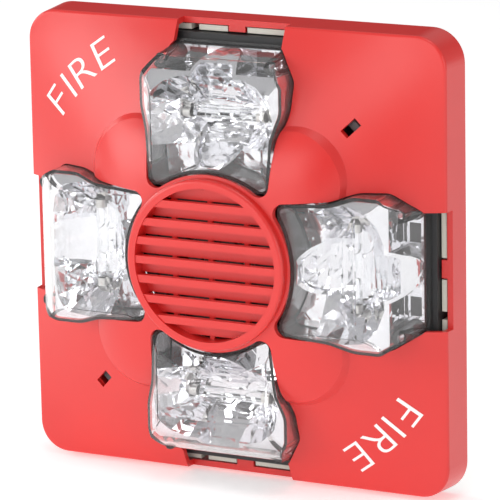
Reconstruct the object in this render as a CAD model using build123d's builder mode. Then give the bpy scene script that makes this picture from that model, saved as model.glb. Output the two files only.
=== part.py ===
from build123d import *
import os
from math import cos, radians, sin, sqrt, tan

os.makedirs("parts", exist_ok=True)

# Four-lens horn strobe for a wall or ceiling, in millimetres.
# The wall is the plane Y = 0 and the device stands out from it towards -Y. Z is up and X is to the
# right as seen from the room. The origin is the centre of the mounting plate's back face.
# A "depth" below is a distance out from the wall. A "turn" is an angle about the centre, as seen from
# the room, and each of the four lenses is drawn at the top and turned into its place.

# Cover
cover_side = 152.0  # side of the square at the skirt's front edge
skirt_depth = 13.0  # wall to the skirt's front edge
skirt_draft = 3.7  # degrees
cover_corner = 11.0  # plan radius of the skirt's corners at the front edge
cover_wall = 2.0
crown_rise = 20.0  # middle of the domed front above the skirt's front edge
cover_edge_round = 1.0
pad_half = 46.7  # half side of the raised pad
pad_corner = 19.7
pad_rise = 20.4
pad_reach = 59.3  # half width at which the pad's own curve would meet the skirt's front edge
pad_bevel = 32.0  # degrees, slope of the pad's edge
pad_root = 4.0  # the sloped edge starts this far below the domed front

# Horn grille, part of the cover
ring_outer = 28.5
ring_inner = 25.5
ring_front = 35.5  # depth of the ring's front
ring_round = 1.2
bar_count = 7
bar_pitch = 6.42
bar_face = 2.5
bar_thick = 2.2
bar_sink = 0.4  # bars behind the ring's front
baffle_face = 3.7
baffle_thick = 1.8
baffle_back = 29.3  # depth of the baffle bars' back face
rib_spacing = 13.2
rib_width = 1.6
rib_sink = 0.5

# Lens windows in the cover
window_margin = 6.3  # end of the shaped window to the cover's front edge
window_half = 26.0  # half width at the widest
window_waist = 23.3  # half width at the waist
window_root = 21.6  # half width beside the horn
window_mouth = 19.6  # half width of the notch that runs out through the skirt
window_ring_gap = 1.0
window_round = 3.5
notch_floor = 9.0  # depth that the skirt is cut down to in the notch

# Release slots
slot_place = 46.3  # each slot's middle, along X and along Z
slot_long = 6.0
slot_wide = 3.2

# Lens
lens_gap = 0.3  # lens to the window's edge
lens_wall = 1.3
lens_front = 34.0
lens_side = 29.6  # depth of the lens's long side edges
lens_end_back = 0.6  # the lens stops this far before the shaped window does
lens_end_half = 20.0
lens_end_slope = 3.0  # the end wall leans in by this much below its rounded top
flange_lip = 1.9
flange_thick = 1.6
flange_margin = 6.3  # end of the flange to the cover's front edge
stud_radius = 3.6  # round corner studs of the lens
stud_top = 24.5
stud_wall = 1.4
lens_pin_radius = 0.8

# Chassis
chassis_gap = 0.4  # chassis to the mounting plate's rim
chassis_wall = 1.8
chassis_corner = 8.0
chassis_back = 2.4
deck_back = 9.4
deck_thick = 1.6
boss_radius = 3.2
boss_rise = 1.6

# Mounting plate
plate_thick = 2.0
rim_height = 8.5
rim_thick = 1.8
rim_gap = 0.4  # rim to the inside of the skirt, at the rim's edge
rim_notch_half = 3.6
rim_slot_place = 15.5
rim_slot_half = 1.4
tab_half = 3.0  # half width of the cover's locating tabs
square_box_spacing = 88.9
gang_height = 83.3
gang_width = 46.0
box_hole_radius = 2.3
gang_slot_width = 4.0
gang_slot_length = 7.0
wire_opening = (44.0, 22.0)
wire_opening_drop = 22.0
post_radius = 3.2
post_height = 38.0  # the posts stand this far above or below the middle
post_edge = 5.6  # posts to the chassis's outside

# Main board
board_thick = 1.6
board_back = 7.0
board_edge = 10.0  # board's edge to the chassis's outside
board_corner = 4.0
board_window = (42.0, 16.4)
screw_radius = 1.25
screw_head_radius = 2.8
screw_head_height = 2.0
corner_screw_inset = 4.5
corner_screw_tip = 11.8
head_screw_radius = 1.5
head_screw_clear = 0.1
head_screw_tip = 3.6
pin_radius = 1.45

# Horn
horn_radius = 24.5
horn_top = 27.6
horn_floor = 1.6
horn_throat = 19.4
horn_bore = 22.9
diaphragm_seat = 19.0
diaphragm_thick = 0.3
ceramic_radius = 14.0
cap_plate = 1.6
cap_gap = 0.2
sound_hole = 5.0
gasket_top = 29.0
horn_screw_place = 22.0
horn_screw_tip = 17.0
contact_pin_radius = 0.5
contact_pin_place = (6.0, 15.0)

# Flash unit
tube_radius = 1.7
tube_half = 12.0
tube_place = 47.0
tube_depth = 18.0
tube_cap_radius = 1.9
tube_cap_length = 2.6
cap_clear = 0.4  # round the end caps, in the reflector
lead_radius = 0.5
trough_half = 7.75
trough_floor = 14.0
trough_focus = 4.0
trough_step = 3.0
trough_end = 39.5  # middle of the trough's round end beside the horn
trough_outer = 58.5  # middle of its other round end
trough_wall = 1.2
ledge_depth = 20.0
ledge_end = 37.5
outer_ledge = 61.5
outer_flattening = 2.0  # the trough is this much flatter beyond the tube
reflector_gap = 0.4
reflector_drop = 2.2  # reflector's rim below the lens's front
fan_sides = 14
fan_radius = 14.5
reflector_notch = (6.4, 4.2)
reflector_notch_place = 12.2

# Parts on the board
capacitor_edge = 1.25  # flash capacitors to the windows on either side
capacitor_latch = 3.9  # flash capacitors to the latch
capacitor_top = 22.6
capacitor_clear = 0.65
arm_far = 8.0  # parts beside the lenses, in from the board's edge
arm_clear = 7.0  # middles of those parts to the window's side
arm_hole = (13.0, 12.0)
arm_part = 4.0  # half width of the transistor and of the input capacitor, beside the selectors
selector_gap = 0.4
selector_line = 56.0  # the selectors' distance above or below the middle
selector_size = (11.6, 5.0, 3.5)
selector_travel = 6.0
selector_knob = (2.6, 2.3)
tone_size = (10.0, 6.0, 3.5)
tone_pitch = 2.54
tone_travel = 1.6
tone_knob = (1.4, 1.6)
knob_clear = 0.15
terminal_count = 4
terminal_pitch = 9.5
terminal_size = (38.0, 14.4)
terminal_base = 2.6
terminal_barrier = 3.0
terminal_wall = 1.4
clamp_thick = 0.8
clamp_width = 6.6
tongue_reach = 4.4
terminal_screw_radius = 1.7
terminal_head_radius = 2.9
spring_width = 3.0
spring_thick = 0.4
coil_radius = 3.6
coil_height = 7.0
transformer_height = 6.8

# Release latches
latch_width = 5.0
latch_base_half = 3.5
latch_base_height = 1.2
latch_inner = 57.5
latch_post = 64.0
latch_post_length = 2.6
latch_nose = 1.3
latch_arm = 2.0
latch_lift = 0.1
latch_gap = 0.15
rail_wall = 1.2
rail_height = 2.4
rail_length = 5.0
catch_gap = 0.2
catch_thick = 1.6

lens_turns = {"top": 0, "right": -90, "bottom": 180, "left": 90}
corner_turns = {"upper_right": 0, "lower_right": -90, "lower_left": 180, "upper_left": 90}
latch_turns = {"upper": -45, "lower": 135}

cover_half = cover_side / 2
back_half = cover_half + skirt_depth * tan(radians(skirt_draft))
window_end = cover_half - window_margin
rim_outer = back_half - rim_height * tan(radians(skirt_draft)) - cover_wall - rim_gap
chassis_half = rim_outer - rim_thick - chassis_gap
deck_top = deck_back + deck_thick
board_front = board_back + board_thick
board_half = chassis_half - board_edge
corner_screw = board_half - corner_screw_inset
post_place = chassis_half - post_edge
arm_place = board_half - arm_far
arm_near = window_half + arm_clear
selector_start = arm_near + arm_part + selector_gap
selector_middle = selector_start + selector_size[0] / 2
tone_middle = selector_start + tone_size[0] / 2
corner_left = latch_inner - capacitor_latch - sqrt(2) * (window_half + capacitor_edge)
capacitor_radius = corner_left / (1 + sqrt(2))
capacitor_place = window_half + capacitor_radius + capacitor_edge
lens_end = window_end - lens_end_back
window_hip = window_end - 10.2
slot_reach = slot_place * sqrt(2)
lead_place = tube_half + tube_cap_length / 2
notch_reach = lens_end - 5.0
lens_pin_place = (window_half + 0.4, window_end - 15)


def front(depth, turn=0.0):
    # The plane at this depth, facing the room: local x runs across the lens, local y away from the centre.
    level = (cos(radians(turn)), 0, sin(radians(turn)))
    return Plane(origin=(0, -depth, 0), x_dir=level, z_dir=(0, -1, 0))


def side(turn):
    # The plane through the axis and a lens's middle: local x is away from the centre, local y is depth.
    facing = front(0, turn)
    return Plane(origin=(0, 0, 0), x_dir=facing.y_dir, z_dir=facing.x_dir)


def across(turn):
    # The plane that cuts across a lens: local x runs across the lens, local y is depth.
    facing = front(0, turn)
    return Plane(origin=(0, 0, 0), x_dir=facing.x_dir, z_dir=-facing.y_dir)


def write(piece, name):
    piece.part.label = name
    export_step(piece.part, f"parts/{name}.step")


def front_depth(x, z):
    # Depth of the cover's domed front, outside the raised pad.
    return skirt_depth + crown_rise * (1 - (x / cover_half) ** 2) * (1 - (z / cover_half) ** 2)


def crowned_face(rise, half, power, lift):
    # The surface rise * (1 - (x / half)^power) * (1 - (z / half)^power) above the skirt's front edge.
    reach = back_half + 1
    share = (reach / half) ** power
    weights = [1 - share * (-1) ** i for i in range(power + 1)]
    places = [reach * (2 * i / power - 1) for i in range(power + 1)]
    rows = []
    for x, a in zip(places, weights):
        rows.append([Vector(x, -(skirt_depth + lift + rise * a * b), z) for z, b in zip(places, weights)])
    return Face.make_bezier_surface(rows)


def domed_form(inset):
    # The plain domed square: the cover's outside with inset 0, its hollow with the wall as inset.
    with BuildPart() as form:
        with BuildSketch(front(0)):
            RectangleRounded(2 * (back_half - inset), 2 * (back_half - inset), cover_corner - inset)
        extrude(amount=skirt_depth + crown_rise + pad_root, taper=skirt_draft)
        surface = crowned_face(crown_rise, cover_half, 2, -inset)
        extrude(surface, amount=200, dir=(0, 1, 0), mode=Mode.INTERSECT)
        if inset == 0:
            fillet(form.faces().sort_by(Axis.Y)[0].edges(), cover_edge_round)
    return form.part


def pad_form(inset):
    # The raised pad, whose edge slopes up out of the domed front.
    corner = pad_half - pad_corner * (1 - sqrt(0.5))
    foot = front_depth(corner, corner) - pad_root
    spread = pad_root * tan(radians(pad_bevel))
    with BuildPart() as form:
        with BuildSketch(front(foot)):
            width = 2 * (pad_half - inset + spread)
            RectangleRounded(width, width, pad_corner - inset + spread)
        extrude(amount=pad_rise - pad_root, taper=pad_bevel)
        surface = crowned_face(pad_rise, pad_reach, 4, -inset)
        extrude(surface, amount=200, dir=(0, 1, 0), mode=Mode.INTERSECT)
    return form.part


def grille_ring():
    with BuildPart() as form:
        with BuildSketch(front(baffle_back)):
            Circle(ring_outer)
        extrude(amount=ring_front - baffle_back)
        fillet(form.faces().sort_by(Axis.Y)[0].edges(), ring_round)
        with BuildSketch(front(baffle_back)):
            Circle(ring_inner)
        extrude(amount=ring_front - baffle_back, mode=Mode.SUBTRACT)
        # Slotted front: level bars, each with an edge towards the room.
        with BuildSketch(front(ring_front - bar_sink - bar_thick)):
            with GridLocations(0, bar_pitch, 1, bar_count):
                Rectangle(2 * ring_outer, bar_face)
            Circle(ring_inner + 0.5, mode=Mode.INTERSECT)
        extrude(amount=bar_thick)
        # Baffle bars behind the openings.
        with BuildSketch(front(baffle_back)):
            with GridLocations(0, bar_pitch, 1, bar_count + 1):
                Rectangle(2 * ring_outer, baffle_face)
            Circle(ring_inner + 0.5, mode=Mode.INTERSECT)
        extrude(amount=baffle_thick)
        # Upright ribs that bridge the gaps between the baffle bars.
        with BuildSketch(front(baffle_back)):
            with GridLocations(rib_spacing, 0, 3, 1):
                Rectangle(rib_width, 2 * ring_outer)
            Circle(ring_inner + 0.5, mode=Mode.INTERSECT)
        extrude(amount=baffle_thick - rib_sink)
    return form.part


def lens_outline(plane, gap, end, end_half, hip):
    # A window or lens outline: hollow beside the horn, waisted, wide, then chamfered to its end.
    waist = window_end - 27.7
    shoulder = window_end - 19.7
    ring_reach = ring_outer + window_ring_gap
    root = sqrt(ring_reach**2 - window_root**2)
    right = [(window_root, root), (window_waist, waist), (window_half, shoulder)]
    right += [(window_half, hip), (end_half, end)]
    left = [(-x, y) for x, y in reversed(right)]
    with BuildSketch(plane) as outline:
        with BuildLine():
            FilletPolyline(*right, *left, radius=[12, 12, 5, 2.5, 2.5, 5, 12, 12])
            ThreePointArc(left[-1], (0, ring_reach), right[0])
        make_face()
        fillet(outline.vertices().group_by(Axis.Y)[0], window_round)
        if gap:
            offset(amount=-gap)
    return outline.sketch


def window_sketch(turn):
    return lens_outline(front(notch_floor, turn), 0, window_end, window_mouth, window_hip)


def dome_sketch(depth, turn, inset):
    return lens_outline(front(depth, turn), lens_gap + inset, lens_end, lens_end_half, window_hip)


def lens_dome(turn, inset, drop):
    # The lens's outside, or its hollow: an outline whose front is crowned both ways.
    top = lens_front - drop
    edge = lens_side - drop
    end = lens_end - inset
    slope = end - lens_end_slope
    inner = ring_inner - 1
    half = window_half + 2
    with BuildPart() as dome:
        extrude(dome_sketch(deck_top, turn, inset), amount=lens_front)
        with BuildSketch(side(turn)):
            with BuildLine():
                ThreePointArc((inner, edge + 1), (inner + 15, top), (slope - 13, top - 1.2))
                ThreePointArc((slope - 13, top - 1.2), (slope - 4.5, top - 4.2), (slope, top - 10))
                Polyline((slope, top - 10), (end + 0.2, deck_top), (inner, deck_top), (inner, edge + 1))
            make_face()
        extrude(amount=half, both=True, mode=Mode.INTERSECT)
        with BuildSketch(across(turn)):
            with BuildLine():
                Polyline((-20, top - 1.2), (-half, edge - 2.4), (-half, deck_top), (half, deck_top))
                Polyline((half, deck_top), (half, edge - 2.4), (20, top - 1.2))
                ThreePointArc((20, top - 1.2), (0, top), (-20, top - 1.2))
            make_face()
        extrude(amount=2 * cover_side, both=True, mode=Mode.INTERSECT)
    return dome.part


def lens_studs(turn, inset):
    # Round studs at the lens's two outer corners.
    place = (window_half - stud_radius - 2.2, lens_end - stud_radius - 1.4)
    with BuildPart() as studs:
        with BuildSketch(front(deck_top, turn)):
            with Locations(place, (-place[0], place[1])):
                Circle(stud_radius - inset)
        extrude(amount=stud_top - inset - deck_top, taper=4)
        with BuildSketch(front(deck_top, turn)):
            add(lens_outline(Plane.XY, lens_gap + inset, lens_end, lens_end_half, window_hip))
        extrude(amount=lens_front, mode=Mode.INTERSECT)
    return studs.part


def make_lens(name, turn):
    dome = lens_dome(turn, 0, 0)
    hollow = lens_dome(turn, lens_wall, lens_wall)
    with BuildPart() as lens:
        with BuildSketch(front(deck_top, turn)) as flange:
            add(lens_outline(Plane.XY, -flange_lip, window_end, window_mouth, window_hip))
            with Locations((0, cover_half - flange_margin + 10)):
                Rectangle(2 * cover_half, 20, mode=Mode.SUBTRACT)
        extrude(amount=flange_thick)
        add(dome)
        add(hollow, mode=Mode.SUBTRACT)
        add(lens_studs(turn, 0))
        add(lens_studs(turn, stud_wall), mode=Mode.SUBTRACT)
        with BuildSketch(front(deck_back, turn)):
            with GridLocations(2 * lens_pin_place[0], 0, 2, 1):
                with Locations((0, lens_pin_place[1])):
                    Circle(lens_pin_radius)
        extrude(amount=deck_thick + 0.4)
    write(lens, name)


def make_front_cover():
    pad = pad_form(0)
    hollow = domed_form(cover_wall)
    pad_hollow = pad_form(cover_wall)
    ring = grille_ring()
    with BuildPart() as front_cover:
        add(domed_form(0))
        add(pad)
        add(hollow, mode=Mode.SUBTRACT)
        add(pad_hollow, mode=Mode.SUBTRACT)
        # Window openings, run out through the skirt in a notch of part of its depth.
        for turn in lens_turns.values():
            extrude(window_sketch(turn), amount=ring_front, mode=Mode.SUBTRACT)
            with BuildSketch(front(notch_floor, turn)):
                with Locations((0, window_end + window_margin)):
                    Rectangle(2 * window_mouth, 2 * window_margin + 3)
            extrude(amount=ring_front, mode=Mode.SUBTRACT)
        with BuildSketch(front(0)):
            Circle(ring_inner)
        extrude(amount=ring_front, mode=Mode.SUBTRACT)
        add(ring)
        # Locating tabs inside the skirt, one in the middle of each side.
        tab_inner = rim_outer - rim_thick + 0.2
        tab_outer = back_half - cover_wall / 2 - skirt_depth * tan(radians(skirt_draft)) / 2
        for turn in lens_turns.values():
            with BuildSketch(front(plate_thick + 0.6, turn)):
                with Locations((0, (tab_inner + tab_outer) / 2)):
                    Rectangle(2 * tab_half, tab_outer - tab_inner)
            extrude(amount=notch_floor - plate_thick - 0.6)
        # Release slots on one diagonal, each with a catch rib behind it.
        for turn in latch_turns.values():
            with BuildSketch(front(skirt_depth, turn)):
                with Locations((0, slot_reach)):
                    Rectangle(slot_wide, slot_long)
            extrude(amount=crown_rise, mode=Mode.SUBTRACT)
            catch_inner = latch_post + latch_post_length + latch_nose + catch_gap
            catch_top = front_depth(slot_place, slot_place) - cover_wall - 0.4
            catch_low = deck_top + 2
            with BuildSketch(front(catch_low, turn)):
                with Locations((0, catch_inner + catch_thick / 2)):
                    Rectangle(2 * latch_width, catch_thick)
            extrude(amount=catch_top - catch_low)
    write(front_cover, "front_cover")


def make_mounting_plate():
    with BuildPart() as plate:
        with BuildSketch(front(0)):
            RectangleRounded(2 * rim_outer, 2 * rim_outer, cover_corner - cover_wall - rim_gap)
        extrude(amount=rim_height)
        with BuildSketch(front(plate_thick)):
            inner = rim_outer - rim_thick
            RectangleRounded(2 * inner, 2 * inner, cover_corner - cover_wall - rim_gap - rim_thick)
        extrude(amount=rim_height, mode=Mode.SUBTRACT)
        # Gaps in the rim for the cover's tabs, and one narrow gap beside each.
        for place, turn in lens_turns.items():
            aside = rim_slot_place if place in ("right", "bottom") else -rim_slot_place
            with BuildSketch(front(plate_thick, turn)):
                with Locations((0, rim_outer)):
                    Rectangle(2 * rim_notch_half, 3 * rim_thick)
                with Locations((aside, rim_outer)):
                    Rectangle(2 * rim_slot_half, 3 * rim_thick)
            extrude(amount=rim_height, mode=Mode.SUBTRACT)
        # A low stiffening rib round the wire opening.
        with BuildSketch(front(plate_thick)):
            with Locations((0, -wire_opening_drop)):
                RectangleRounded(wire_opening[0] + 4, wire_opening[1] + 4, 4)
        extrude(amount=1)
        # Posts that the chassis seats on: two for its screws, two with locating pins.
        with BuildSketch(front(plate_thick)):
            with GridLocations(2 * post_place, 2 * post_height, 2, 2):
                Circle(post_radius)
        extrude(amount=deck_back - plate_thick)
        with BuildSketch(front(deck_back)):
            with Locations((-post_place, post_height), (post_place, -post_height)):
                Circle(pin_radius)
        extrude(amount=deck_thick + 1)
        with BuildSketch(front(head_screw_tip)):
            with Locations((post_place, post_height), (-post_place, -post_height)):
                Circle(head_screw_radius + head_screw_clear)
        extrude(amount=deck_back, mode=Mode.SUBTRACT)
        with BuildSketch(front(0)):
            with Locations((0, -wire_opening_drop)):
                RectangleRounded(wire_opening[0], wire_opening[1], 2)
            with GridLocations(square_box_spacing, square_box_spacing, 2, 2):
                Circle(box_hole_radius)
            with GridLocations(0, gang_height, 1, 2):
                SlotOverall(gang_slot_length, gang_slot_width, rotation=90)
            with GridLocations(gang_width, gang_height, 2, 2):
                SlotOverall(gang_slot_length, gang_slot_width)
        extrude(amount=plate_thick + 1, mode=Mode.SUBTRACT)
    write(plate, "mounting_plate")


def make_chassis():
    with BuildPart() as chassis:
        with BuildSketch(front(chassis_back)):
            RectangleRounded(2 * chassis_half, 2 * chassis_half, chassis_corner)
        extrude(amount=deck_top - chassis_back)
        with BuildSketch(front(chassis_back)):
            inner = chassis_half - chassis_wall
            RectangleRounded(2 * inner, 2 * inner, chassis_corner - chassis_wall)
        extrude(amount=deck_back - chassis_back, mode=Mode.SUBTRACT)
        # Corner bosses that the board is screwed to.
        with BuildSketch(front(board_front)):
            with GridLocations(2 * corner_screw, 2 * corner_screw, 2, 2):
                Circle(boss_radius)
        extrude(amount=deck_top + boss_rise - board_front)
        with BuildSketch(front(board_front)):
            with GridLocations(2 * corner_screw, 2 * corner_screw, 2, 2):
                Circle(screw_radius)
        extrude(amount=corner_screw_tip - board_front, mode=Mode.SUBTRACT)
        # Guide rails for the release latches.
        for turn in latch_turns.values():
            with BuildSketch(front(deck_top, turn)):
                with Locations((0, (latch_inner + latch_post) / 2)):
                    width = 2 * (latch_base_half + latch_gap + rail_wall)
                    Rectangle(width, rail_length)
                    Rectangle(2 * (latch_base_half + latch_gap), rail_length, mode=Mode.SUBTRACT)
            extrude(amount=rail_height)
            with BuildSketch(front(deck_top + latch_base_height + 2 * latch_lift, turn)):
                with Locations((0, (latch_inner + latch_post) / 2)):
                    Rectangle(2 * (latch_base_half + latch_gap + rail_wall), rail_length)
                    Rectangle(latch_width + 4 * latch_gap, rail_length, mode=Mode.SUBTRACT)
            extrude(amount=rail_height - latch_base_height - 2 * latch_lift)
        # Openings for what stands on the board.
        with BuildSketch(front(deck_back)):
            with GridLocations(2 * capacitor_place, 2 * capacitor_place, 2, 2):
                Circle(capacitor_radius + capacitor_clear)
            with Locations((-selector_middle, selector_line)):
                RectangleRounded(selector_size[0] + 2, selector_size[1] + 2, 1)
            with Locations((tone_middle, -selector_line)):
                RectangleRounded(tone_size[0] + 2, tone_size[1] + 2, 1)
        extrude(amount=deck_thick + rail_height, mode=Mode.SUBTRACT)
        for turn in corner_turns.values():
            with BuildSketch(front(deck_back, turn)):
                with Locations((arm_near, arm_place)):
                    RectangleRounded(arm_hole[1], arm_hole[0], 1)
                with Locations((arm_place, arm_near)):
                    RectangleRounded(arm_hole[0], arm_hole[1], 1)
            extrude(amount=deck_thick + rail_height, mode=Mode.SUBTRACT)
        # Holes for screws, locating pins, lens pins, tube leads and the horn's contact pins.
        with BuildSketch(front(deck_back)):
            with GridLocations(2 * post_place, 2 * post_height, 2, 2):
                Circle(head_screw_radius + 2 * head_screw_clear)
            with PolarLocations(horn_screw_place, 3, start_angle=90):
                Circle(screw_radius + 0.3)
            with Locations(contact_pin_place, (-contact_pin_place[0], contact_pin_place[1])):
                Circle(contact_pin_radius + 0.4)
        extrude(amount=deck_thick, mode=Mode.SUBTRACT)
        for turn in lens_turns.values():
            with BuildSketch(front(deck_back, turn)):
                with GridLocations(2 * lens_pin_place[0], 0, 2, 1):
                    with Locations((0, lens_pin_place[1])):
                        Circle(lens_pin_radius)
                with Locations((lead_place, tube_place), (-lead_place, tube_place)):
                    Circle(lead_radius + 0.4)
            extrude(amount=deck_thick, mode=Mode.SUBTRACT)
    write(chassis, "chassis")


def make_main_board():
    with BuildPart() as board:
        with BuildSketch(front(board_back)):
            RectangleRounded(2 * board_half, 2 * board_half, board_corner)
            Rectangle(board_window[0], board_window[1], mode=Mode.SUBTRACT)
            with GridLocations(2 * corner_screw, 2 * corner_screw, 2, 2):
                Circle(screw_radius + 0.3, mode=Mode.SUBTRACT)
            with PolarLocations(horn_screw_place, 3, start_angle=90):
                Circle(screw_radius + 0.3, mode=Mode.SUBTRACT)
            with Locations(contact_pin_place, (-contact_pin_place[0], contact_pin_place[1])):
                Circle(contact_pin_radius, mode=Mode.SUBTRACT)
            for turn in lens_turns.values():
                with PolarLocations(tube_place, 1, start_angle=90 + turn):
                    with Locations((0, lead_place), (0, -lead_place)):
                        Circle(lead_radius, mode=Mode.SUBTRACT)
        extrude(amount=board_thick)
    write(board, "main_board")


def make_horn():
    with BuildPart() as chamber:
        with BuildSketch(front(deck_top)):
            Circle(horn_radius)
        extrude(amount=horn_top - deck_top)
        with BuildSketch(front(deck_top + horn_floor)):
            Circle(horn_throat)
        extrude(amount=horn_top, mode=Mode.SUBTRACT)
        with BuildSketch(front(diaphragm_seat)):
            Circle(horn_bore)
        extrude(amount=horn_top, mode=Mode.SUBTRACT)
        with BuildSketch(front(deck_top)):
            with PolarLocations(horn_screw_place, 3, start_angle=90):
                Circle(screw_radius)
        extrude(amount=horn_screw_tip - deck_top, mode=Mode.SUBTRACT)
        with BuildSketch(front(deck_top)):
            with Locations(contact_pin_place, (-contact_pin_place[0], contact_pin_place[1])):
                Circle(contact_pin_radius + 0.4)
        extrude(amount=horn_floor, mode=Mode.SUBTRACT)
    write(chamber, "horn_chamber")

    with BuildPart() as diaphragm:
        with BuildSketch(front(diaphragm_seat)):
            Circle(horn_bore - cap_gap)
        extrude(amount=diaphragm_thick)
    write(diaphragm, "diaphragm_plate")

    with BuildPart() as ceramic:
        with BuildSketch(front(diaphragm_seat + diaphragm_thick)):
            Circle(ceramic_radius)
        extrude(amount=diaphragm_thick)
    write(ceramic, "piezo_ceramic")

    with BuildPart() as cap:
        cap_back = diaphragm_seat + diaphragm_thick
        with BuildSketch(front(cap_back)):
            Circle(horn_bore - cap_gap)
        extrude(amount=horn_top - cap_back)
        with BuildSketch(front(cap_back)):
            Circle(horn_throat)
        extrude(amount=horn_top - cap_plate - cap_back, mode=Mode.SUBTRACT)
        with BuildSketch(front(horn_top - cap_plate)):
            Circle(sound_hole)
            with PolarLocations((horn_throat + sound_hole) / 2, 8):
                Circle(sound_hole / 2)
        extrude(amount=cap_plate, mode=Mode.SUBTRACT)
    write(cap, "horn_cap")

    with BuildPart() as gasket:
        with BuildSketch(front(horn_top)):
            Circle(horn_radius)
            Circle(horn_radius - 3, mode=Mode.SUBTRACT)
        extrude(amount=gasket_top - horn_top)
    write(gasket, "horn_gasket")

    with BuildPart() as pins:
        with BuildSketch(front(board_back)):
            with Locations(contact_pin_place, (-contact_pin_place[0], contact_pin_place[1])):
                Circle(contact_pin_radius)
        extrude(amount=diaphragm_seat - board_back)
    write(pins, "horn_contact_pins")


def trough_form(turn):
    # The middle trough, a faceted parabola with the tube along its focus and round ends.
    reach = [trough_step * step for step in range(-6, 8)]
    bowl = []
    for run in reach:
        flatter = outer_flattening if run > 0 else 1
        bowl.append((tube_place + run, trough_floor + run**2 / (4 * trough_focus * flatter)))
    bowl.append((tube_place + reach[-1], cover_side / 2))
    bowl.append((tube_place + reach[0], cover_side / 2))
    with BuildPart() as trough:
        with BuildSketch(side(turn)):
            with BuildLine():
                Polyline(*bowl, close=True)
            make_face()
        extrude(amount=trough_half, both=True)
        with BuildSketch(front(deck_top, turn)):
            with Locations((0, (trough_end + trough_outer) / 2)):
                SlotCenterToCenter(trough_outer - trough_end, 2 * trough_half, rotation=90)
        extrude(amount=lens_front, mode=Mode.INTERSECT)
    return trough.part


def make_flash_unit(place, turn):
    rim_sketch = dome_sketch(deck_top, turn, lens_wall + reflector_gap)
    rim_form = lens_dome(turn, lens_wall + reflector_gap, reflector_drop)
    with BuildPart() as reflector:
        extrude(rim_sketch, amount=lens_front)
        add(rim_form, mode=Mode.INTERSECT)
        add(lens_studs(turn, -reflector_gap), mode=Mode.SUBTRACT)
        # A low ledge beside the horn, round the trough's closed end.
        with BuildSketch(front(ledge_depth, turn)):
            with Locations((0, ring_outer)):
                Rectangle(2 * window_half, 2 * (ledge_end - ring_outer))
            with Locations((0, trough_end)):
                Circle(trough_half + trough_wall, mode=Mode.SUBTRACT)
        extrude(amount=lens_front, mode=Mode.SUBTRACT)
        # A thin flange at the other end, round the trough's outer end.
        with BuildSketch(front(deck_top + flange_thick, turn)):
            with Locations((0, outer_ledge + cover_side / 2)):
                Rectangle(cover_side, cover_side)
            with Locations((0, trough_outer)):
                Circle(trough_half + trough_wall, mode=Mode.SUBTRACT)
        extrude(amount=lens_front, mode=Mode.SUBTRACT)
        add(trough_form(turn), mode=Mode.SUBTRACT)
        # A faceted fan beyond each end of the trough.
        for hand in (-1, 1):
            with BuildSketch(front(trough_floor, turn)):
                with Locations((hand * trough_half, tube_place)):
                    RegularPolygon(trough_focus, fan_sides)
            with BuildSketch(front(lens_front, turn)):
                with Locations((hand * trough_half, tube_place)):
                    RegularPolygon(fan_radius + trough_focus, fan_sides)
            loft(ruled=True, mode=Mode.SUBTRACT)
        with BuildSketch(front(deck_top, turn)):
            with Locations((reflector_notch_place, notch_reach), (-reflector_notch_place, notch_reach)):
                Rectangle(*reflector_notch)
            with Locations((lead_place, tube_place), (-lead_place, tube_place)):
                Circle(lead_radius + 0.4)
        extrude(amount=lens_front, mode=Mode.SUBTRACT)
        # Room for the tube's end caps.
        with BuildSketch(front(tube_depth - tube_cap_radius - cap_clear, turn)):
            with Locations((lead_place, tube_place), (-lead_place, tube_place)):
                Rectangle(tube_cap_length + 2 * cap_clear, 2 * (tube_cap_radius + cap_clear))
        extrude(amount=lens_front, mode=Mode.SUBTRACT)
    write(reflector, f"reflector_{place}")

    with BuildPart() as tube:
        with BuildSketch(Plane(origin=front(tube_depth, turn).from_local_coords((-tube_half, tube_place)),
                               x_dir=front(0, turn).y_dir, z_dir=front(0, turn).x_dir)):
            Circle(tube_radius)
        extrude(amount=2 * tube_half)
    write(tube, f"flash_tube_{place}")

    with BuildPart() as electrodes:
        for hand in (-1, 1):
            start = front(tube_depth, turn).from_local_coords((hand * tube_half, tube_place))
            with BuildSketch(Plane(origin=start, x_dir=front(0, turn).y_dir, z_dir=hand * front(0, turn).x_dir)):
                Circle(tube_cap_radius)
            extrude(amount=tube_cap_length)
        with BuildSketch(front(board_back, turn)):
            with Locations((lead_place, tube_place), (-lead_place, tube_place)):
                Circle(lead_radius)
        extrude(amount=tube_depth - board_back)
    write(electrodes, f"tube_leads_{place}")


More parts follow.
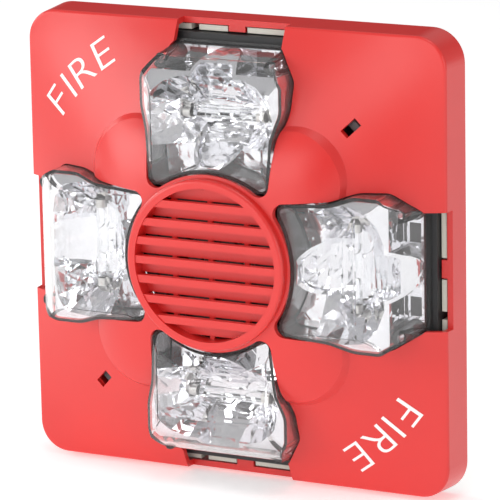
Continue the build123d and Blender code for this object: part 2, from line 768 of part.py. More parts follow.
def make_board_parts():
    for corner, turn in corner_turns.items():
        with BuildPart() as capacitor:
            with BuildSketch(front(board_front, turn)):
                with Locations((capacitor_place, capacitor_place)):
                    Circle(capacitor_radius)
            extrude(amount=capacitor_top - board_front)
            # Rolled groove near the foot and a pressed cross on the top.
            with BuildSketch(front(board_front + 2, turn)):
                with Locations((capacitor_place, capacitor_place)):
                    Circle(capacitor_radius)
                    Circle(capacitor_radius - 0.4, mode=Mode.SUBTRACT)
            extrude(amount=1, mode=Mode.SUBTRACT)
            with BuildSketch(front(capacitor_top - 0.3, turn)):
                with Locations((capacitor_place, capacitor_place)):
                    Rectangle(capacitor_radius, 0.6)
                    Rectangle(0.6, capacitor_radius)
            extrude(amount=1, mode=Mode.SUBTRACT)
        write(capacitor, f"flash_capacitor_{corner}")

        with BuildPart() as coil:
            with BuildSketch(front(board_front, turn)):
                with Locations((arm_near, arm_place)):
                    Circle(coil_radius)
            extrude(amount=1)
            with BuildSketch(front(board_front + 1, turn)):
                with Locations((arm_near, arm_place)):
                    Circle(coil_radius - 0.8)
            extrude(amount=coil_height - 2)
            with BuildSketch(front(board_front + coil_height - 1, turn)):
                with Locations((arm_near, arm_place)):
                    Circle(coil_radius)
            extrude(amount=1)
        write(coil, f"trigger_coil_{corner}")

    # Converter transformer: a core with its winding round the middle leg.
    with BuildPart() as core:
        with BuildSketch(front(board_front)):
            with Locations((arm_place, arm_near)):
                Rectangle(11, 10)
                with GridLocations(7, 0, 2, 1):
                    Rectangle(2.6, 6.4, mode=Mode.SUBTRACT)
        extrude(amount=transformer_height)
        with BuildSketch(Plane.YZ.offset(arm_place - 4.4)):
            with Locations((-(board_front + transformer_height / 2), arm_near)):
                Rectangle(transformer_height - 2.6, 6.4)
        extrude(amount=8.8, mode=Mode.SUBTRACT)
        with BuildSketch(front(board_front)):
            with Locations((arm_place, arm_near)):
                Circle(1.8)
        extrude(amount=transformer_height)
    write(core, "transformer_core")

    with BuildPart() as winding:
        with BuildSketch(front(board_front + 1.5)):
            with Locations((arm_place, arm_near)):
                Circle(3)
                Circle(1.8, mode=Mode.SUBTRACT)
        extrude(amount=transformer_height - 3)
    write(winding, "transformer_winding")

    with BuildPart() as choke:
        with BuildSketch(front(board_front)):
            with Locations((-arm_place, -arm_near)):
                Circle(4.6)
        extrude(amount=5)
        fillet(choke.edges().filter_by(GeomType.CIRCLE), 1)
        with BuildSketch(front(board_front)):
            with Locations((-arm_place, -arm_near)):
                Circle(1.8)
        extrude(amount=6, mode=Mode.SUBTRACT)
    write(choke, "choke")

    with BuildPart() as transistor:
        with BuildSketch(front(board_front)):
            with Locations((-arm_near, arm_place)):
                Rectangle(2 * arm_part, 4.4)
        extrude(amount=6)
        with BuildSketch(front(board_front)):
            with Locations((-arm_near, arm_place + 2.8)):
                Rectangle(2 * arm_part, 1.2)
        extrude(amount=7.4)
        chamfer(transistor.edges().group_by(Axis.Y)[0], 0.4)
    write(transistor, "power_transistor")

    with BuildPart() as input_capacitor:
        with BuildSketch(front(board_front)):
            with Locations((arm_near, -arm_place)):
                Circle(arm_part)
        extrude(amount=7)
        fillet(input_capacitor.edges().sort_by(Axis.Y)[0], 0.5)
    write(input_capacitor, "input_capacitor")

    # Control circuits on the back of the board.
    with BuildPart() as chips:
        for x, z, wide, high in ((36, 4, 10, 7.5), (-38, -6, 7.5, 5)):
            with BuildSketch(front(board_back - 1.4)):
                with Locations((x, z)):
                    Rectangle(wide, high)
            extrude(amount=1.4)
            with BuildSketch(front(board_back - 0.5)):
                with Locations((x, z)):
                    with GridLocations(1.27, 0, int(wide / 1.27), 1):
                        Rectangle(0.5, high + 2.4)
            extrude(amount=0.5)
    write(chips, "control_chips")


def make_selectors():
    # Brightness selector: a knob that slides along a channel.
    low_x = -selector_middle - selector_travel / 2
    with BuildPart() as body:
        with BuildSketch(front(board_front)):
            with Locations((-selector_middle, selector_line)):
                Rectangle(selector_size[0], selector_size[1])
        extrude(amount=selector_size[2])
        with BuildSketch(front(board_front + 1.2)):
            with Locations((-selector_middle, selector_line)):
                channel = selector_travel + selector_knob[0] + 2 * knob_clear
                Rectangle(channel, selector_knob[1] + 2 * knob_clear)
        extrude(amount=selector_size[2], mode=Mode.SUBTRACT)
    write(body, "brightness_switch")
    with BuildPart() as knob:
        with BuildSketch(front(board_front + 1.2)):
            with Locations((low_x, selector_line)):
                Rectangle(*selector_knob)
        extrude(amount=selector_size[2])
        chamfer(knob.edges().group_by(Axis.Y)[0], 0.3)
    write(knob, "brightness_knob")

    # Tone selector: three small sliders side by side.
    with BuildPart() as block:
        with BuildSketch(front(board_front)):
            with Locations((tone_middle, -selector_line)):
                Rectangle(tone_size[0], tone_size[1])
        extrude(amount=tone_size[2])
        with BuildSketch(front(board_front + 1.2)):
            with Locations((tone_middle, -selector_line)):
                with GridLocations(tone_pitch, 0, 3, 1):
                    Rectangle(tone_knob[0] + 2 * knob_clear, tone_travel + tone_knob[1] + 2 * knob_clear)
        extrude(amount=tone_size[2], mode=Mode.SUBTRACT)
    write(block, "tone_switch")
    for number in range(3):
        with BuildPart() as slider:
            with BuildSketch(front(board_front + 1.2)):
                place_x = tone_middle + (number - 1) * tone_pitch
                with Locations((place_x, -selector_line - tone_travel / 2)):
                    Rectangle(*tone_knob)
            extrude(amount=tone_size[2] - 0.6)
        write(slider, f"tone_slider_{number + 1}")


def make_terminals():
    low = plate_thick + terminal_base
    half = terminal_size[1] / 2
    with BuildPart() as block:
        with BuildSketch(front(plate_thick)):
            Rectangle(*terminal_size)
        extrude(amount=terminal_base)
        with BuildSketch(front(low)):
            with GridLocations(terminal_pitch, 0, terminal_count + 1, 1):
                Rectangle(terminal_wall, terminal_size[1])
            Rectangle(*terminal_size, mode=Mode.INTERSECT)
        extrude(amount=terminal_barrier)
        with BuildSketch(front(plate_thick + 0.4)):
            with GridLocations(terminal_pitch, 0, terminal_count, 1):
                Circle(terminal_screw_radius)
        extrude(amount=terminal_base, mode=Mode.SUBTRACT)
    write(block, "terminal_block")

    with BuildPart() as clamps:
        with BuildSketch(front(low)):
            with GridLocations(terminal_pitch, 0, terminal_count, 1):
                with Locations((0, tongue_reach / 2)):
                    Rectangle(clamp_width, 2 * half - 2 + tongue_reach)
                Circle(terminal_screw_radius, mode=Mode.SUBTRACT)
        extrude(amount=clamp_thick)
    write(clamps, "terminal_clamps")

    with BuildPart() as screws:
        with BuildSketch(front(low + clamp_thick)):
            with GridLocations(terminal_pitch, 0, terminal_count, 1):
                Circle(terminal_head_radius)
        extrude(amount=screw_head_height)
        with BuildSketch(front(plate_thick + 0.4)):
            with GridLocations(terminal_pitch, 0, terminal_count, 1):
                Circle(terminal_screw_radius)
        extrude(amount=low + clamp_thick - plate_thick)
        with BuildSketch(front(low + clamp_thick + screw_head_height / 2)):
            with GridLocations(terminal_pitch, 0, terminal_count, 1):
                Rectangle(2 * terminal_head_radius, 0.8)
        extrude(amount=screw_head_height, mode=Mode.SUBTRACT)
    write(screws, "terminal_screws")

    # Spring fingers under the board, which press on the clamps' tongues.
    tongue_end = half - 1 + tongue_reach
    touch = low + clamp_thick
    with BuildPart() as springs:
        for number in range(terminal_count):
            place_x = (number - (terminal_count - 1) / 2) * terminal_pitch
            with BuildSketch(Plane.YZ.offset(place_x - spring_width / 2)):
                with BuildLine():
                    foot = -(board_back - spring_thick / 2)
                    line = Polyline((foot, tongue_end + 7), (foot, tongue_end + 3),
                                    (-(touch + spring_thick / 2), tongue_end), (-(touch + spring_thick / 2), tongue_end - 1.6))
                    offset(line, amount=spring_thick / 2, kind=Kind.INTERSECTION)
                make_face()
            extrude(amount=spring_width)
    write(springs, "contact_springs")


def make_screws():
    # Board screws, driven from behind.
    with BuildPart() as board_screws:
        with BuildSketch(front(board_back - screw_head_height)):
            with GridLocations(2 * corner_screw, 2 * corner_screw, 2, 2):
                Circle(screw_head_radius)
        extrude(amount=screw_head_height)
        with BuildSketch(front(board_back)):
            with GridLocations(2 * corner_screw, 2 * corner_screw, 2, 2):
                Circle(screw_radius)
        extrude(amount=corner_screw_tip - board_back)
        with BuildSketch(front(board_back - screw_head_height)):
            with GridLocations(2 * corner_screw, 2 * corner_screw, 2, 2):
                Rectangle(0.7, screw_head_radius)
                Rectangle(screw_head_radius, 0.7)
        extrude(amount=screw_head_height / 2, mode=Mode.SUBTRACT)
    write(board_screws, "board_screws")

    with BuildPart() as horn_screws:
        with BuildSketch(front(board_back - screw_head_height)):
            with PolarLocations(horn_screw_place, 3, start_angle=90):
                Circle(screw_head_radius)
        extrude(amount=screw_head_height)
        with BuildSketch(front(board_back)):
            with PolarLocations(horn_screw_place, 3, start_angle=90):
                Circle(screw_radius)
        extrude(amount=horn_screw_tip - board_back)
        with BuildSketch(front(board_back - screw_head_height)):
            with PolarLocations(horn_screw_place, 3, start_angle=90):
                Rectangle(0.7, screw_head_radius)
                Rectangle(screw_head_radius, 0.7)
        extrude(amount=screw_head_height / 2, mode=Mode.SUBTRACT)
    write(horn_screws, "horn_screws")

    # Captive screws that hold the chassis on the mounting plate, driven from the room.
    spots = [(post_place, post_height), (-post_place, -post_height)]
    with BuildPart() as head_screws:
        with BuildSketch(front(deck_top)):
            with Locations(*spots):
                Circle(screw_head_radius)
        extrude(amount=screw_head_height)
        with BuildSketch(front(head_screw_tip + 0.4)):
            with Locations(*spots):
                Circle(head_screw_radius)
        extrude(amount=deck_top - head_screw_tip)
        with BuildSketch(front(deck_top + screw_head_height / 2)):
            with Locations(*spots):
                Rectangle(0.8, 2 * screw_head_radius)
                Rectangle(screw_head_radius, 0.8)
        extrude(amount=screw_head_height, mode=Mode.SUBTRACT)
    write(head_screws, "chassis_screws")


def make_latch(name, turn):
    slide_back = deck_top + latch_lift
    slide_top = front_depth(slot_place, slot_place) - cover_wall - 1.2
    length = latch_post + latch_post_length - latch_inner
    with BuildPart() as latch:
        with BuildSketch(front(slide_back, turn)):
            with Locations((0, latch_inner + length / 2)):
                Rectangle(2 * latch_base_half, length)
        extrude(amount=latch_base_height)
        with BuildSketch(front(slide_back, turn)):
            with Locations((0, latch_inner + length / 2)):
                Rectangle(latch_width, length)
        extrude(amount=rail_height)
        with BuildSketch(front(slide_back, turn)):
            with Locations((0, latch_post + latch_post_length / 2)):
                Rectangle(latch_width, latch_post_length)
        extrude(amount=slide_top - slide_back)
        # Sloped nose towards the cover's catch.
        with BuildSketch(side(turn)):
            with BuildLine():
                outer = latch_post + latch_post_length
                Polyline((outer, slide_top - 3.6), (outer + latch_nose, slide_top - 3.2),
                         (outer + latch_nose, slide_top - 2.4), (outer, slide_top), close=True)
            make_face()
        extrude(amount=latch_width / 2, both=True)
        # Spring arms moulded at the inner end.
        with BuildSketch(front(slide_back, turn)):
            with GridLocations(latch_width - 0.8, 0, 2, 1):
                with Locations((0, latch_inner - latch_arm / 2)):
                    Rectangle(0.8, latch_arm + 0.4)
        extrude(amount=rail_height)
    write(latch, name)


make_front_cover()
for place, turn in lens_turns.items():
    make_lens(f"lens_{place}", turn)
    make_flash_unit(place, turn)
make_mounting_plate()
make_chassis()
make_main_board()
make_horn()
make_board_parts()
make_selectors()
make_terminals()
make_screws()
for place, turn in latch_turns.items():
    make_latch(f"latch_{place}", turn)
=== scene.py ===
import math

import bpy
from mathutils import Matrix, Vector


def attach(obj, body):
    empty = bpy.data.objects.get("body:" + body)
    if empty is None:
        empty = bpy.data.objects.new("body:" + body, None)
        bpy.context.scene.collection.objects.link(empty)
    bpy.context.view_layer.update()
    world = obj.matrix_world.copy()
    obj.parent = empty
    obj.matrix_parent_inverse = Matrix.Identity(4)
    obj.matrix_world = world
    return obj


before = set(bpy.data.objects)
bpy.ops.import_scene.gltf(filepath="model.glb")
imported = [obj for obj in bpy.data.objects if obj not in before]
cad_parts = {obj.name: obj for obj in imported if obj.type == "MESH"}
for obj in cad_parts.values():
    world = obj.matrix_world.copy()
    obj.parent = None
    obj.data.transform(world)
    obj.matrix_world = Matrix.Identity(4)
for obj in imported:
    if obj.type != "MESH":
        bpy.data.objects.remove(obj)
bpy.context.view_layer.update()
print("frame loaded", len(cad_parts), "nodes")

places = ["top", "right", "bottom", "left"]
corners = ["upper_right", "lower_right", "lower_left", "upper_left"]


def letGo():
    if bpy.context.object and bpy.context.object.mode != "OBJECT":
        bpy.ops.object.mode_set(mode="OBJECT")
    bpy.ops.object.select_all(action="DESELECT")


class Wire:
    def __init__(self, tree, socket=None):
        self.tree = tree
        self.socket = socket

    def node(self, kind, settings=None, inputs=None, output=0):
        made = self.tree.nodes.new(kind)
        for name, value in (settings or {}).items():
            if name == "stops":
                stops = made.color_ramp.elements
                stops[0].position, stops[0].color = value[0]
                stops[1].position, stops[1].color = value[-1]
                for place, colour in value[1:-1]:
                    stops.new(place).color = colour
            else:
                setattr(made, name, value)
        for name, value in (inputs or {}).items():
            if isinstance(value, Wire):
                self.tree.links.new(value.socket, made.inputs[name])
            else:
                made.inputs[name].default_value = value
        return Wire(self.tree, made.outputs[output] if made.outputs else None)

    def maths(self, operation, first, second=0.0):
        return self.node("ShaderNodeMath", {"operation": operation}, {0: first, 1: second})

    def __add__(self, other):
        return self.maths("ADD", self, other)

    def __radd__(self, other):
        return self.maths("ADD", other, self)

    def __sub__(self, other):
        return self.maths("SUBTRACT", self, other)

    def __rsub__(self, other):
        return self.maths("SUBTRACT", other, self)

    def __mul__(self, other):
        return self.maths("MULTIPLY", self, other)

    def __rmul__(self, other):
        return self.maths("MULTIPLY", other, self)

    def __gt__(self, other):
        return self.maths("GREATER_THAN", self, other)

    def __lt__(self, other):
        return self.maths("LESS_THAN", self, other)

    def blend(self, low, high):
        # low where this is 0, high where it is 1
        return self.node("ShaderNodeMix", {"data_type": "RGBA"}, {0: self, 6: low, 7: high}, 2)

    def stretch(self, fromLow, fromHigh, toLow=0.0, toHigh=1.0):
        return self.node("ShaderNodeMapRange", {}, {0: self, 1: fromLow, 2: fromHigh, 3: toLow, 4: toHigh})


def startMaterial(name):
    material = bpy.data.materials.new(name)
    material.use_nodes = True
    material.node_tree.nodes.clear()
    start = Wire(material.node_tree)
    return material, start, start.node("ShaderNodeTexCoord", output="Object")


def noise(start, where, scale, detail=3.0, rough=0.5):
    inputs = {"Vector": where, "Scale": scale, "Detail": detail, "Roughness": rough}
    return start.node("ShaderNodeTexNoise", {}, inputs)


def bump(start, height, distance, strength):
    return start.node("ShaderNodeBump", {}, {"Height": height, "Distance": distance, "Strength": strength})


def endMaterial(start, inputs):
    skin = start.node("ShaderNodeBsdfPrincipled", {}, inputs)
    start.node("ShaderNodeOutputMaterial", {}, {"Surface": skin})


# Moulded plastics: spark-eroded grain, faint flow clouding and light scuffs.
plastics = {
    "coverRed": dict(colour=(0.74, 0.024, 0.020, 1), cloud=(0.68, 0.019, 0.017, 1),
                     roughness=0.34, grain=2600, depth=0.00004, coat=0.35),
    "plateIvory": dict(colour=(0.72, 0.69, 0.61, 1), cloud=(0.64, 0.61, 0.53, 1),
                       roughness=0.5, grain=2200, depth=0.00004, coat=0.0),
    "chassisBlack": dict(colour=(0.018, 0.018, 0.019, 1), cloud=(0.03, 0.03, 0.031, 1),
                         roughness=0.45, grain=2400, depth=0.00005, coat=0.0),
    "hornBlack": dict(colour=(0.022, 0.022, 0.024, 1), cloud=(0.035, 0.034, 0.034, 1),
                      roughness=0.4, grain=2000, depth=0.00003, coat=0.0),
    # grey latch plastic, darkened as painted shade for the shaded release slot it sits in
    "latchGreyPaintedShade": dict(colour=(0.13, 0.13, 0.135, 1), cloud=(0.10, 0.10, 0.105, 1),
                      roughness=0.38, grain=1800, depth=0.00002, coat=0.0),
    "knobWhite": dict(colour=(0.80, 0.80, 0.77, 1), cloud=(0.72, 0.72, 0.69, 1),
                      roughness=0.35, grain=1800, depth=0.00002, coat=0.0),
    "terminalBlack": dict(colour=(0.03, 0.03, 0.032, 1), cloud=(0.045, 0.045, 0.045, 1),
                          roughness=0.42, grain=2100, depth=0.00003, coat=0.0),
}


moulding = dict(cloudScale=22.0, cloudShare=0.6, pitShare=0.6, scuffScale=160.0, patchiness=0.05,
                grainStrength=0.5, coatRoughness=0.3, ior=1.5)


def plasticMaterial(name):
    look = plastics[name]
    material, start, where = startMaterial(name)
    clouds = noise(start, where, moulding["cloudScale"], 4.0, 0.6).stretch(0.35, 0.65)
    grain = noise(start, where, look["grain"], 2.0, 0.6)
    pits = start.node("ShaderNodeTexVoronoi", {"feature": "SMOOTH_F1"},
                      {"Vector": where, "Scale": look["grain"] * 0.8})
    colour = (clouds * moulding["cloudShare"]).blend(look["colour"], look["cloud"])
    scuffs = noise(start, where, moulding["scuffScale"], 6.0, 0.7).stretch(0.62, 0.75)
    roughness = look["roughness"] + (clouds - 0.5) * moulding["patchiness"] + scuffs * moulding["patchiness"]
    normal = bump(start, grain + pits * moulding["pitShare"], look["depth"], moulding["grainStrength"])
    endMaterial(start, {"Base Color": colour, "Roughness": roughness, "Normal": normal,
                        "Coat Weight": look["coat"],
                        "Coat Roughness": moulding["coatRoughness"], "IOR": moulding["ior"]})
    return material


# Clear pieces.
clears = {
    "lensClear": dict(colour=(0.99, 0.99, 0.995, 1), ior=1.42, roughness=0.015,
                      ripple=0.0006, clear=0.955),
    "tubeGlass": dict(colour=(0.97, 0.98, 0.98, 1), ior=1.47, roughness=0.01, ripple=0.0001, clear=1.0),
}


clearing = dict(flowScale=60.0, strength=0.25, dustScale=900.0, dustRoughness=0.05, hazeScale=35.0,
                hazeDim=0.985)


def clearMaterial(name):
    look = clears[name]
    material, start, where = startMaterial(name)
    flow = noise(start, where, clearing["flowScale"], 2.0, 0.4)
    dust = noise(start, where, clearing["dustScale"], 5.0, 0.7).stretch(0.6, 0.8)
    haze = noise(start, where, clearing["hazeScale"], 3.0, 0.5).stretch(0.4, 0.8)
    normal = bump(start, flow, look["ripple"], clearing["strength"])
    tint = haze.blend(look["colour"], tuple(c * clearing["hazeDim"] for c in look["colour"][:3]) + (1,))
    endMaterial(start, {"Base Color": tint, "Roughness": look["roughness"] + dust * clearing["dustRoughness"],
                        "Normal": normal, "IOR": look["ior"], "Transmission Weight": look["clear"]})
    return material


# Metals.
metals = {
    "zincPlate": dict(colour=(0.66, 0.66, 0.64, 1), dull=(0.52, 0.52, 0.50, 1),
                      roughness=0.32, scale=500.0, depth=0.00003, lines=0.3),
    "tinPlate": dict(colour=(0.74, 0.73, 0.70, 1), dull=(0.60, 0.59, 0.56, 1),
                     roughness=0.28, scale=600.0, depth=0.00002, lines=0.2),
    "brassSheet": dict(colour=(0.78, 0.58, 0.26, 1), dull=(0.58, 0.41, 0.17, 1),
                       roughness=0.28, scale=300.0, depth=0.00002, lines=0.5),
}


def metalMaterial(name):
    look = metals[name]
    material, start, where = startMaterial(name)
    patches = noise(start, where, look["scale"], 4.0, 0.6).stretch(0.35, 0.7)
    drawn = start.node("ShaderNodeMapping", {}, {"Vector": where, "Scale": (1.0, 1.0, 40.0)})
    lines = noise(start, drawn, 220.0, 3.0, 0.6)
    waves = noise(start, where, look["scale"], 1.0, 0.3)
    normal = bump(start, waves + lines * look["lines"], look["depth"], 0.3)
    endMaterial(start, {"Base Color": patches.blend(look["colour"], look["dull"]), "Metallic": 1.0,
                        "Roughness": look["roughness"] + patches * 0.06, "Normal": normal})
    return material


mirror = dict(colour=(0.90, 0.90, 0.92, 1), dull=(0.80, 0.80, 0.83, 1),
              roughness=0.05, facets=170.0, patches=55.0, waves=38.0, depth=0.0017, strength=0.3)


def mirrorMaterial():
    # bright coating over moulded facets, slightly dull where it was sprayed thin
    material, start, where = startMaterial("mirrorCoat")
    facets = start.node("ShaderNodeTexVoronoi", {"distance": "CHEBYCHEV"},
                        {"Vector": where, "Scale": mirror["facets"]})
    patches = noise(start, where, mirror["patches"], 4.0, 0.6).stretch(0.35, 0.7)
    waves = noise(start, where, mirror["waves"], 1.0, 0.3)
    normal = bump(start, facets + waves, mirror["depth"], mirror["strength"])
    endMaterial(start, {"Base Color": patches.blend(mirror["colour"], mirror["dull"]), "Metallic": 1.0,
                        "Roughness": mirror["roughness"] + patches * 0.06, "Normal": normal})
    return material


board = dict(mask=(0.010, 0.085, 0.032, 1), track=(0.022, 0.17, 0.07, 1), tin=(0.62, 0.60, 0.55, 1),
             fineScale=90.0, wideScale=27.0, padScale=210.0, speckleScale=1500.0,
             roughness=0.3, depth=0.00005, strength=0.6)


def boardMaterial():
    # solder mask with copper tracks under it and tinned pads
    material, start, where = startMaterial("boardGreen")
    x = start.node("ShaderNodeSeparateXYZ", {}, {0: where}, "X")
    z = start.node("ShaderNodeSeparateXYZ", {}, {0: where}, "Z")
    flat = start.node("ShaderNodeCombineXYZ", {}, {0: x, 1: z})
    brick = start.node("ShaderNodeTexBrick", {"offset": 0.37, "squash": 0.6, "squash_frequency": 3},
                       {"Vector": flat, "Scale": board["fineScale"], "Mortar Size": 0.09,
                        "Mortar Smooth": 0.1}, "Fac")
    wide = start.node("ShaderNodeTexBrick", {"offset": 0.21, "squash": 1.7, "squash_frequency": 2},
                      {"Vector": flat, "Scale": board["wideScale"], "Mortar Size": 0.05,
                       "Mortar Smooth": 0.1}, "Fac")
    dots = start.node("ShaderNodeTexVoronoi", {}, {"Vector": flat, "Scale": board["padScale"]})
    pads = dots.stretch(0.16, 0.12)
    tracks = start.maths("MAXIMUM", brick * 0.8, wide)
    green = tracks.blend(board["mask"], board["track"])
    speckle = noise(start, where, board["speckleScale"], 3.0, 0.6)
    colour = pads.blend(green, board["tin"])
    normal = bump(start, tracks + pads + speckle * 0.1, board["depth"], board["strength"])
    endMaterial(start, {"Base Color": colour, "Roughness": board["roughness"] + speckle * 0.1,
                        "Metallic": pads * 0.9,
                        "Normal": normal, "IOR": 1.5})
    return material


def woundMaterial(name, colour, dark, axis, pitch):
    # turns of enamelled wire, wound round the given axis, with painted shade darkening the grooves between
    # turns
    material, start, where = startMaterial(name)
    split = start.node("ShaderNodeSeparateXYZ", {}, {0: where}, axis)
    turnsOfWire = start.node("ShaderNodeMath", {"operation": "PINGPONG"}, {0: split, 1: pitch / 2})
    crown = turnsOfWire * (2 / pitch)
    grime = noise(start, where, 700.0, 4.0, 0.6)
    # painted shade: the dark colour in the grooves between turns, bright copper on the crowns
    endMaterial(start, {"Base Color": crown.blend(dark, colour), "Metallic": 0.75,
                        "Roughness": 0.25 + grime * 0.2,
                        "Normal": bump(start, crown + grime * 0.2, 0.00012, 0.8)})
    return material


sleeve = dict(film=(0.012, 0.018, 0.05, 1), ring=(0.25, 0.27, 0.32, 1), can=(0.75, 0.75, 0.76, 1),
              topDepth=-0.02215, ringPitch=0.0021, ringFrom=0.00193750, roughness=0.28)


def sleeveMaterial():
    # printed heat-shrink sleeve with fine pale rings, bare aluminium at the top
    material, start, where = startMaterial("capacitorSleeve")
    depth = start.node("ShaderNodeSeparateXYZ", {}, {0: where}, "Y")
    canTop = (depth < sleeve["topDepth"]) * 1.0
    wrinkle = noise(start, where, 260.0, 4.0, 0.5)
    bands = start.node("ShaderNodeMath", {"operation": "PINGPONG"}, {0: depth, 1: sleeve["ringPitch"]})
    printed = (bands > sleeve["ringFrom"]).blend(sleeve["film"], sleeve["ring"])
    colour = canTop.blend(printed, sleeve["can"])
    endMaterial(start, {"Base Color": colour, "Metallic": canTop,
                        "Roughness": sleeve["roughness"] + wrinkle * 0.15,
                        "Normal": bump(start, wrinkle, 0.00008, 0.5)})
    return material


def grainyMaterial(name, colour, dark, roughness, scale, depth):
    # foam, ferrite and ceramic: an open, grainy surface
    material, start, where = startMaterial(name)
    cells = start.node("ShaderNodeTexVoronoi", {}, {"Vector": where, "Scale": scale})
    clouds = noise(start, where, 120.0, 4.0, 0.6)
    shade = (cells * 0.5 + clouds * 0.5).stretch(0.2, 0.7)
    endMaterial(start, {"Base Color": shade.blend(dark, colour), "Roughness": roughness + clouds * 0.1,
                        "Normal": bump(start, cells + clouds * 0.4, depth, 0.7)})
    return material


finishes = {name: plasticMaterial(name) for name in plastics}
finishes.update({name: clearMaterial(name) for name in clears})
finishes.update({name: metalMaterial(name) for name in metals})
finishes["mirrorCoat"] = mirrorMaterial()
finishes["boardGreen"] = boardMaterial()
wires = {
    # each dark colour is painted shade for the grooves between turns of wire
    "copperWire": dict(colour=(0.72, 0.30, 0.12, 1), dark=(0.25, 0.07, 0.02, 1), axis="Y", pitch=0.0005),
    "coilWire": dict(colour=(0.58, 0.24, 0.08, 1), dark=(0.16, 0.05, 0.02, 1), axis="Y", pitch=0.0004),
}
finishes.update({name: woundMaterial(name, **look) for name, look in wires.items()})
finishes["capacitorSleeve"] = sleeveMaterial()
grains = {
    "gasketFoam": dict(colour=(0.045, 0.045, 0.048, 1), dark=(0.012, 0.012, 0.012, 1),
                       roughness=0.85, scale=1600, depth=0.0002),
    "coreFerrite": dict(colour=(0.06, 0.06, 0.065, 1), dark=(0.025, 0.025, 0.028, 1),
                        roughness=0.5, scale=2200, depth=0.00006),
    "piezoCeramic": dict(colour=(0.80, 0.78, 0.72, 1), dark=(0.62, 0.60, 0.55, 1),
                         roughness=0.4, scale=2600, depth=0.00003),
}
finishes.update({name: grainyMaterial(name, **look) for name, look in grains.items()})
print("materials made", len(finishes))

nodeFinish = {
    "front_cover": "coverRed", "mounting_plate": "plateIvory", "chassis": "chassisBlack",
    "horn_chamber": "hornBlack", "horn_cap": "hornBlack", "horn_gasket": "gasketFoam",
    "diaphragm_plate": "brassSheet", "piezo_ceramic": "piezoCeramic", "horn_contact_pins": "tinPlate",
    "main_board": "boardGreen", "control_chips": "terminalBlack", "power_transistor": "terminalBlack",
    "contact_springs": "tinPlate", "terminal_block": "terminalBlack", "terminal_clamps": "zincPlate",
    "terminal_screws": "zincPlate", "chassis_screws": "zincPlate", "board_screws": "zincPlate",
    "horn_screws": "zincPlate",
    "transformer_core": "coreFerrite", "transformer_winding": "copperWire", "choke": "coreFerrite",
    "input_capacitor": "capacitorSleeve", "brightness_switch": "hornBlack", "tone_switch": "hornBlack",
    "brightness_knob": "knobWhite",
    "latch_upper": "latchGreyPaintedShade", "latch_lower": "latchGreyPaintedShade",
}
for place in places:
    nodeFinish[f"lens_{place}"] = "lensClear"
    nodeFinish[f"reflector_{place}"] = "mirrorCoat"
    nodeFinish[f"flash_tube_{place}"] = "tubeGlass"
    nodeFinish[f"tube_leads_{place}"] = "tinPlate"
for number in range(1, 4):
    nodeFinish[f"tone_slider_{number}"] = "knobWhite"
for corner in corners:
    nodeFinish[f"flash_capacitor_{corner}"] = "capacitorSleeve"
    nodeFinish[f"trigger_coil_{corner}"] = "coilWire"
for name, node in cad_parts.items():
    for slot in node.material_slots:
        slot.material = finishes[nodeFinish[name]]
print("nodes painted")

# The word stands on the dome twice, curved round the middle.
lettering = dict(word="FIRE", height=0.0106, widen=1.16, radius=0.0734, lift=0.00012,
                 middles=(134.5, -45.5), steps=(-9.1, -3.95, 1.25, 8.5), capHeight=0.729,
                 thinning=-0.0002, thick=0.00008, sunk=0.00005, weld=0.000002)
dome = dict(edge=0.013, rise=0.020, half=0.076)


def domeDepth(x, z):
    return dome["edge"] + dome["rise"] * (1 - (x / dome["half"]) ** 2) * (1 - (z / dome["half"]) ** 2)


ink = dict(colour=(0.93, 0.92, 0.91, 1), thin=(0.86, 0.55, 0.53, 1), thinShare=0.35,
           roughness=0.42, depth=0.00003, strength=0.5)


def paintMaterial():
    # thick white ink, slightly uneven
    material, start, where = startMaterial("whiteInk")
    streaks = noise(start, where, 700.0, 4.0, 0.6)
    thin = noise(start, where, 2400.0, 3.0, 0.6).stretch(0.66, 0.78)
    colour = (thin * ink["thinShare"]).blend(ink["colour"], ink["thin"])
    endMaterial(start, {"Base Color": colour, "Roughness": ink["roughness"] + streaks * 0.12,
                        "Normal": bump(start, streaks, ink["depth"], ink["strength"])})
    return material


def addLetter(letter, angle):
    letGo()
    bpy.ops.object.text_add(location=(0, 0, 0))
    text = bpy.context.object
    text.data.body = letter
    text.data.size = lettering["height"] / lettering["capHeight"]
    text.data.align_x = "CENTER"
    text.data.resolution_u = 6
    text.data.extrude = lettering["thick"]
    text.data.offset = lettering["thinning"]
    bpy.ops.object.convert(target="MESH")
    mesh = text.data
    out = Vector((math.cos(angle), 0, math.sin(angle)))
    along = Vector((math.sin(angle), 0, -math.cos(angle)))
    for vertex in mesh.vertices:
        flat = out * (lettering["radius"] + vertex.co.y) + along * vertex.co.x * lettering["widen"]
        lift = lettering["lift"] if vertex.co.z > 0 else -lettering["sunk"]
        vertex.co = (flat.x, -(domeDepth(flat.x, flat.z) + lift), flat.z)
    return text


inkMaterial = paintMaterial()
for number, middle in enumerate(lettering["middles"]):
    letters = []
    for letter, step in zip(lettering["word"], lettering["steps"]):
        letters.append(addLetter(letter, math.radians(middle - step)))
    letGo()
    for letter in letters:
        letter.select_set(True)
    bpy.context.view_layer.objects.active = letters[0]
    bpy.ops.object.join()
    word = bpy.context.object
    word.name = ("wordUpperLeft", "wordLowerRight")[number]
    bpy.ops.object.mode_set(mode="EDIT")
    bpy.ops.mesh.select_all(action="SELECT")
    bpy.ops.mesh.remove_doubles(threshold=lettering["weld"])
    bpy.ops.mesh.quads_convert_to_tris()
    bpy.ops.mesh.normals_make_consistent(inside=False)
    bpy.ops.object.mode_set(mode="OBJECT")
    word.data.materials.clear()
    word.data.materials.append(inkMaterial)
    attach(word, "cover")
print("lettering done")


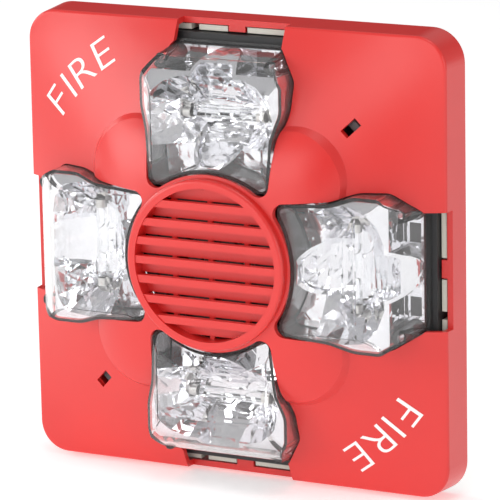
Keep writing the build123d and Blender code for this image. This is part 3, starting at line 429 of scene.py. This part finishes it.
studio = dict(azimuth=27.34, elevation=13.42, roll=-0.0189, distance=1.3075,
              lens=284.8, shift=(-0.0075, -0.0145), floorSize=12, floorDrop=-0.0775)
lights = {
    "keyPanel": dict(place=(-1.0, -0.95, 0.35), size=0.8, power=6.2),
    "frontPanel": dict(place=(-0.3, -1.45, 0.35), size=0.7, power=3.0),
    "edgePanel": dict(place=(-1.2, 0.18, 0.45), size=0.5, power=4.0),
    "fillPanel": dict(place=(1.3, -0.9, 0.3), size=0.6, power=3.4),
    "topPanel": dict(place=(0.25, -0.35, 1.3), size=0.6, power=3.4),
}

letGo()
bpy.ops.mesh.primitive_plane_add(size=studio["floorSize"], location=(0, 0, studio["floorDrop"]))
floor = bpy.context.object
floor.name = "floor"
material, start, where = startMaterial("paleFloor")
mottle = noise(start, where, 3.0, 3.0, 0.5)
endMaterial(start, {"Base Color": mottle.blend((0.93, 0.93, 0.93, 1), (0.90, 0.90, 0.90, 1)),
                    "Roughness": 0.9, "Emission Color": (1, 1, 1, 1),
                    "Emission Strength": 0.4})
floor.data.materials.append(material)

for name, light in lights.items():
    letGo()
    bpy.ops.object.light_add(type="AREA", location=light["place"])
    lamp = bpy.context.object
    lamp.name = name
    lamp.data.shape = "DISK"
    lamp.data.size = light["size"]
    lamp.data.energy = light["power"]
    lamp.rotation_euler = (-Vector(light["place"])).to_track_quat("-Z", "Y").to_euler()

world = bpy.data.worlds.new("studio")
bpy.context.scene.world = world
world.use_nodes = True
world.node_tree.nodes.clear()
start = Wire(world.node_tree)
where = start.node("ShaderNodeTexCoord", output="Generated")
sideways = start.node("ShaderNodeSeparateXYZ", {}, {0: where}, "X")
upwards = start.node("ShaderNodeSeparateXYZ", {}, {0: where}, "Z")
# pale walls with two dark cards in front, brighter overhead
cards = start.node("ShaderNodeValToRGB", {"stops": [
    (0.0, (1, 1, 1, 1)), (0.20, (0.85, 0.85, 0.85, 1)),
    (0.24, (0.02, 0.02, 0.025, 1)), (0.32, (0.02, 0.02, 0.025, 1)),
    (0.36, (0.62, 0.62, 0.62, 1)), (0.56, (0.70, 0.70, 0.70, 1)),
    (0.59, (0.02, 0.02, 0.025, 1)), (0.67, (0.02, 0.02, 0.025, 1)),
    (0.70, (0.75, 0.75, 0.75, 1)), (1.0, (1, 1, 1, 1))]}, {"Fac": sideways * 0.5 + 0.5})
sky = upwards.stretch(0.35, 0.6).blend(cards, (1.0, 1.0, 1.0, 1))
backdrop = start.node("ShaderNodeBackground", {}, {"Color": sky, "Strength": 0.5})
start.node("ShaderNodeOutputWorld", {}, {"Surface": backdrop})
bpy.context.scene.view_settings.view_transform = "Standard"

azimuth, elevation = math.radians(studio["azimuth"]), math.radians(studio["elevation"])
back = Vector((math.sin(azimuth) * math.cos(elevation), -math.cos(azimuth) * math.cos(elevation),
               math.sin(elevation)))
level = Vector((math.cos(azimuth), math.sin(azimuth), 0))
up = back.cross(level)
tilt = studio["roll"]
right = level * math.cos(tilt) + up * math.sin(tilt)
rise = up * math.cos(tilt) - level * math.sin(tilt)
letGo()
bpy.ops.object.camera_add()
camera = bpy.context.object
turned = Matrix((right, rise, back)).transposed().to_4x4()
camera.matrix_world = Matrix.Translation(back * studio["distance"]) @ turned
camera.data.lens = studio["lens"]
camera.data.sensor_width = 36
camera.data.shift_x, camera.data.shift_y = studio["shift"]
camera.data.clip_start = 0.05
bpy.context.scene.camera = camera
print("studio set")
